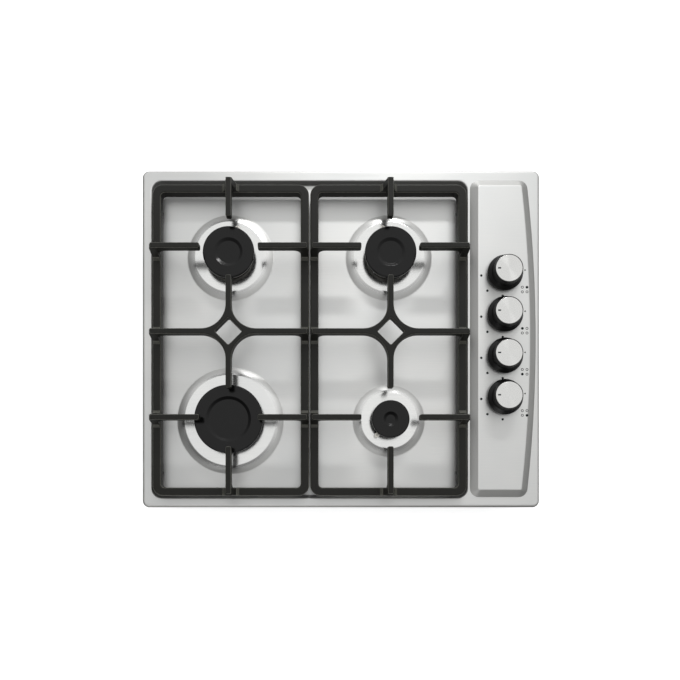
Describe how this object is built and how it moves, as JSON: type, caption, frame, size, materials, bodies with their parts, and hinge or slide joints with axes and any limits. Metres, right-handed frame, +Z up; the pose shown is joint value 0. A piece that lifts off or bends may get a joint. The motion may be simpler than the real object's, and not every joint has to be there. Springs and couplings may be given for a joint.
{
  "type": "gas cooktop",
  "caption": "Built-in stainless gas cooktop with pressed wells, black burners under cast-iron pan supports and a raised knob panel on the right",
  "frame": {"origin": "centre of the plate's outline, at the underside of the base tray", "axes": "+X to the right along the plate's long side, towards the controls; +Y to the back, where the gas comes in; +Z up, out of the worktop"},
  "size_m": [0.59, 0.5, 0.09],
  "materials": {
    "plate_steel": "satin brushed stainless steel",
    "foam_seal": "soft closed-cell foam",
    "cast_iron": "matt black enamel on cast iron",
    "feet_rubber": "matt rubber",
    "cap_enamel": "satin black enamel on steel",
    "spreader_alloy": "cast, slightly grey",
    "cup_alloy": "die-cast",
    "nozzle_brass": "machined",
    "electrode_ceramic": "glazed white",
    "electrode_steel": "plain drawn wire",
    "knob_plastic": "fine satin black",
    "disc_steel": "spun, with a bright edge",
    "grommet_rubber": "matt rubber",
    "spindle_steel": "turned",
    "plug_brass": "lapped",
    "spring_steel": "drawn wire",
    "tap_brass": "forged and machined",
    "bonnet_alloy": "die-cast",
    "rail_steel": "bright zinc plate",
    "tube_alloy": "drawn tube",
    "module_plastic": "moulded black",
    "lead_silicone": "smooth silicone sleeve",
    "switch_plastic": "moulded ivory",
    "tray_steel": "galvanised sheet",
    "screw_steel": "bright zinc plate",
    "inlet_plastic": "moulded black",
    "clamp_steel": "zinc plated strip"
  },
  "bodies": {
    "hob": {"hob_plate": "plate_steel", "rim_seal": "foam_seal", "burner_cup_rear_left": "cup_alloy", "burner_cup_rear_right": "cup_alloy", "burner_cup_front_left": "cup_alloy", "burner_cup_front_right": "cup_alloy", "injectors": "nozzle_brass", "electrode_insulators": "electrode_ceramic", "electrode_pins": "electrode_steel", "spindle_grommets": "grommet_rubber", "tap_bodies": "tap_brass", "tap_bonnets": "bonnet_alloy", "gas_rail": "rail_steel", "gas_tubes": "tube_alloy", "ignition_module": "module_plastic", "spark_leads": "lead_silicone", "switch_strip": "switch_plastic", "base_tray": "tray_steel", "tray_sides": "tray_steel", "tray_ends": "tray_steel", "clamp_brackets": "clamp_steel", "fixing_screws": "screw_steel", "burner_screws": "screw_steel", "mains_inlet": "inlet_plastic"},
    "support_left": {"pan_support_left": "cast_iron", "support_feet_left": "feet_rubber"},
    "support_right": {"pan_support_right": "cast_iron", "support_feet_right": "feet_rubber"},
    "spreader_rear_left": {"flame_spreader_rear_left": "spreader_alloy"},
    "cap_rear_left": {"burner_cap_rear_left": "cap_enamel"},
    "spreader_rear_right": {"flame_spreader_rear_right": "spreader_alloy"},
    "cap_rear_right": {"burner_cap_rear_right": "cap_enamel"},
    "spreader_front_left": {"flame_spreader_front_left": "spreader_alloy"},
    "cap_front_left": {"burner_cap_front_left": "cap_enamel"},
    "spreader_front_right": {"flame_spreader_front_right": "spreader_alloy"},
    "cap_front_right": {"burner_cap_front_right": "cap_enamel"},
    "plug_rear_right": {"tap_plug_rear_right": "plug_brass", "tap_spring_rear_right": "spring_steel"},
    "control_rear_right": {"tap_spindle_rear_right": "spindle_steel", "control_knob_rear_right": "knob_plastic", "knob_disc_rear_right": "disc_steel"},
    "plug_rear_left": {"tap_plug_rear_left": "plug_brass", "tap_spring_rear_left": "spring_steel"},
    "control_rear_left": {"tap_spindle_rear_left": "spindle_steel", "control_knob_rear_left": "knob_plastic", "knob_disc_rear_left": "disc_steel"},
    "plug_front_left": {"tap_plug_front_left": "plug_brass", "tap_spring_front_left": "spring_steel"},
    "control_front_left": {"tap_spindle_front_left": "spindle_steel", "control_knob_front_left": "knob_plastic", "knob_disc_front_left": "disc_steel"},
    "plug_front_right": {"tap_plug_front_right": "plug_brass", "tap_spring_front_right": "spring_steel"},
    "control_front_right": {"tap_spindle_front_right": "spindle_steel", "control_knob_front_right": "knob_plastic", "knob_disc_front_right": "disc_steel"},
    "clamp_rear_left": {"fixing_clamp_rear_left": "clamp_steel"},
    "clamp_rear_right": {"fixing_clamp_rear_right": "clamp_steel"},
    "clamp_front_right": {"fixing_clamp_front_right": "clamp_steel"},
    "clamp_front_left": {"fixing_clamp_front_left": "clamp_steel"}
  },
  "joints": [
    {"name": "lift_support_left", "type": "slide", "parent": "hob", "child": "support_left", "axis": [0, 0, 1], "range_m": [0, 0.1]},
    {"name": "lift_support_right", "type": "slide", "parent": "hob", "child": "support_right", "axis": [0, 0, 1], "range_m": [0, 0.1]},
    {"name": "lift_spreader_rear_left", "type": "slide", "parent": "hob", "child": "spreader_rear_left", "axis": [0, 0, 1], "range_m": [0, 0.05]},
    {"name": "lift_cap_rear_left", "type": "slide", "parent": "spreader_rear_left", "child": "cap_rear_left", "axis": [0, 0, 1], "range_m": [0, 0.03]},
    {"name": "lift_spreader_rear_right", "type": "slide", "parent": "hob", "child": "spreader_rear_right", "axis": [0, 0, 1], "range_m": [0, 0.05]},
    {"name": "lift_cap_rear_right", "type": "slide", "parent": "spreader_rear_right", "child": "cap_rear_right", "axis": [0, 0, 1], "range_m": [0, 0.03]},
    {"name": "lift_spreader_front_left", "type": "slide", "parent": "hob", "child": "spreader_front_left", "axis": [0, 0, 1], "range_m": [0, 0.004]},
    {"name": "lift_cap_front_left", "type": "slide", "parent": "spreader_front_left", "child": "cap_front_left", "axis": [0, 0, 1], "range_m": [0, 0.006]},
    {"name": "lift_spreader_front_right", "type": "slide", "parent": "hob", "child": "spreader_front_right", "axis": [0, 0, 1], "range_m": [0, 0.05]},
    {"name": "lift_cap_front_right", "type": "slide", "parent": "spreader_front_right", "child": "cap_front_right", "axis": [0, 0, 1], "range_m": [0, 0.03]},
    {"name": "turn_rear_right", "type": "hinge", "parent": "hob", "child": "plug_rear_right", "pos_m": [0.2393, 0.09365, 0.049], "axis": [0, 0, 1], "range_deg": [0, 180]},
    {"name": "push_rear_right", "type": "slide", "parent": "plug_rear_right", "child": "control_rear_right", "axis": [0, 0, -1], "range_m": [0, 0.0035], "stiffness_N_per_m": 2500, "springref_m": -0.002, "deforming": ["tap_spring_rear_right"]},
    {"name": "turn_rear_left", "type": "hinge", "parent": "hob", "child": "plug_rear_left", "pos_m": [0.2393, 0.03315, 0.049], "axis": [0, 0, 1], "range_deg": [0, 180]},
    {"name": "push_rear_left", "type": "slide", "parent": "plug_rear_left", "child": "control_rear_left", "axis": [0, 0, -1], "range_m": [0, 0.0035], "stiffness_N_per_m": 2500, "springref_m": -0.002, "deforming": ["tap_spring_rear_left"]},
    {"name": "turn_front_left", "type": "hinge", "parent": "hob", "child": "plug_front_left", "pos_m": [0.2393, -0.02735, 0.049], "axis": [0, 0, 1], "range_deg": [0, 180]},
    {"name": "push_front_left", "type": "slide", "parent": "plug_front_left", "child": "control_front_left", "axis": [0, 0, -1], "range_m": [0, 0.0035], "stiffness_N_per_m": 2500, "springref_m": -0.002, "deforming": ["tap_spring_front_left"]},
    {"name": "turn_front_right", "type": "hinge", "parent": "hob", "child": "plug_front_right", "pos_m": [0.2393, -0.08785, 0.049], "axis": [0, 0, 1], "range_deg": [0, 180]},
    {"name": "push_front_right", "type": "slide", "parent": "plug_front_right", "child": "control_front_right", "axis": [0, 0, -1], "range_m": [0, 0.0035], "stiffness_N_per_m": 2500, "springref_m": -0.002, "deforming": ["tap_spring_front_right"]},
    {"name": "swing_clamp_rear_left", "type": "hinge", "parent": "hob", "child": "clamp_rear_left", "pos_m": [-0.185, 0.229, 0.0107], "axis": [0, 0, 1], "range_deg": [0, 90]},
    {"name": "swing_clamp_rear_right", "type": "hinge", "parent": "hob", "child": "clamp_rear_right", "pos_m": [0.185, 0.229, 0.0107], "axis": [0, 0, -1], "range_deg": [0, 90]},
    {"name": "swing_clamp_front_right", "type": "hinge", "parent": "hob", "child": "clamp_front_right", "pos_m": [0.185, -0.229, 0.0107], "axis": [0, 0, 1], "range_deg": [0, 90]},
    {"name": "swing_clamp_front_left", "type": "hinge", "parent": "hob", "child": "clamp_front_left", "pos_m": [-0.185, -0.229, 0.0107], "axis": [0, 0, -1], "range_deg": [0, 90]}
  ]
}
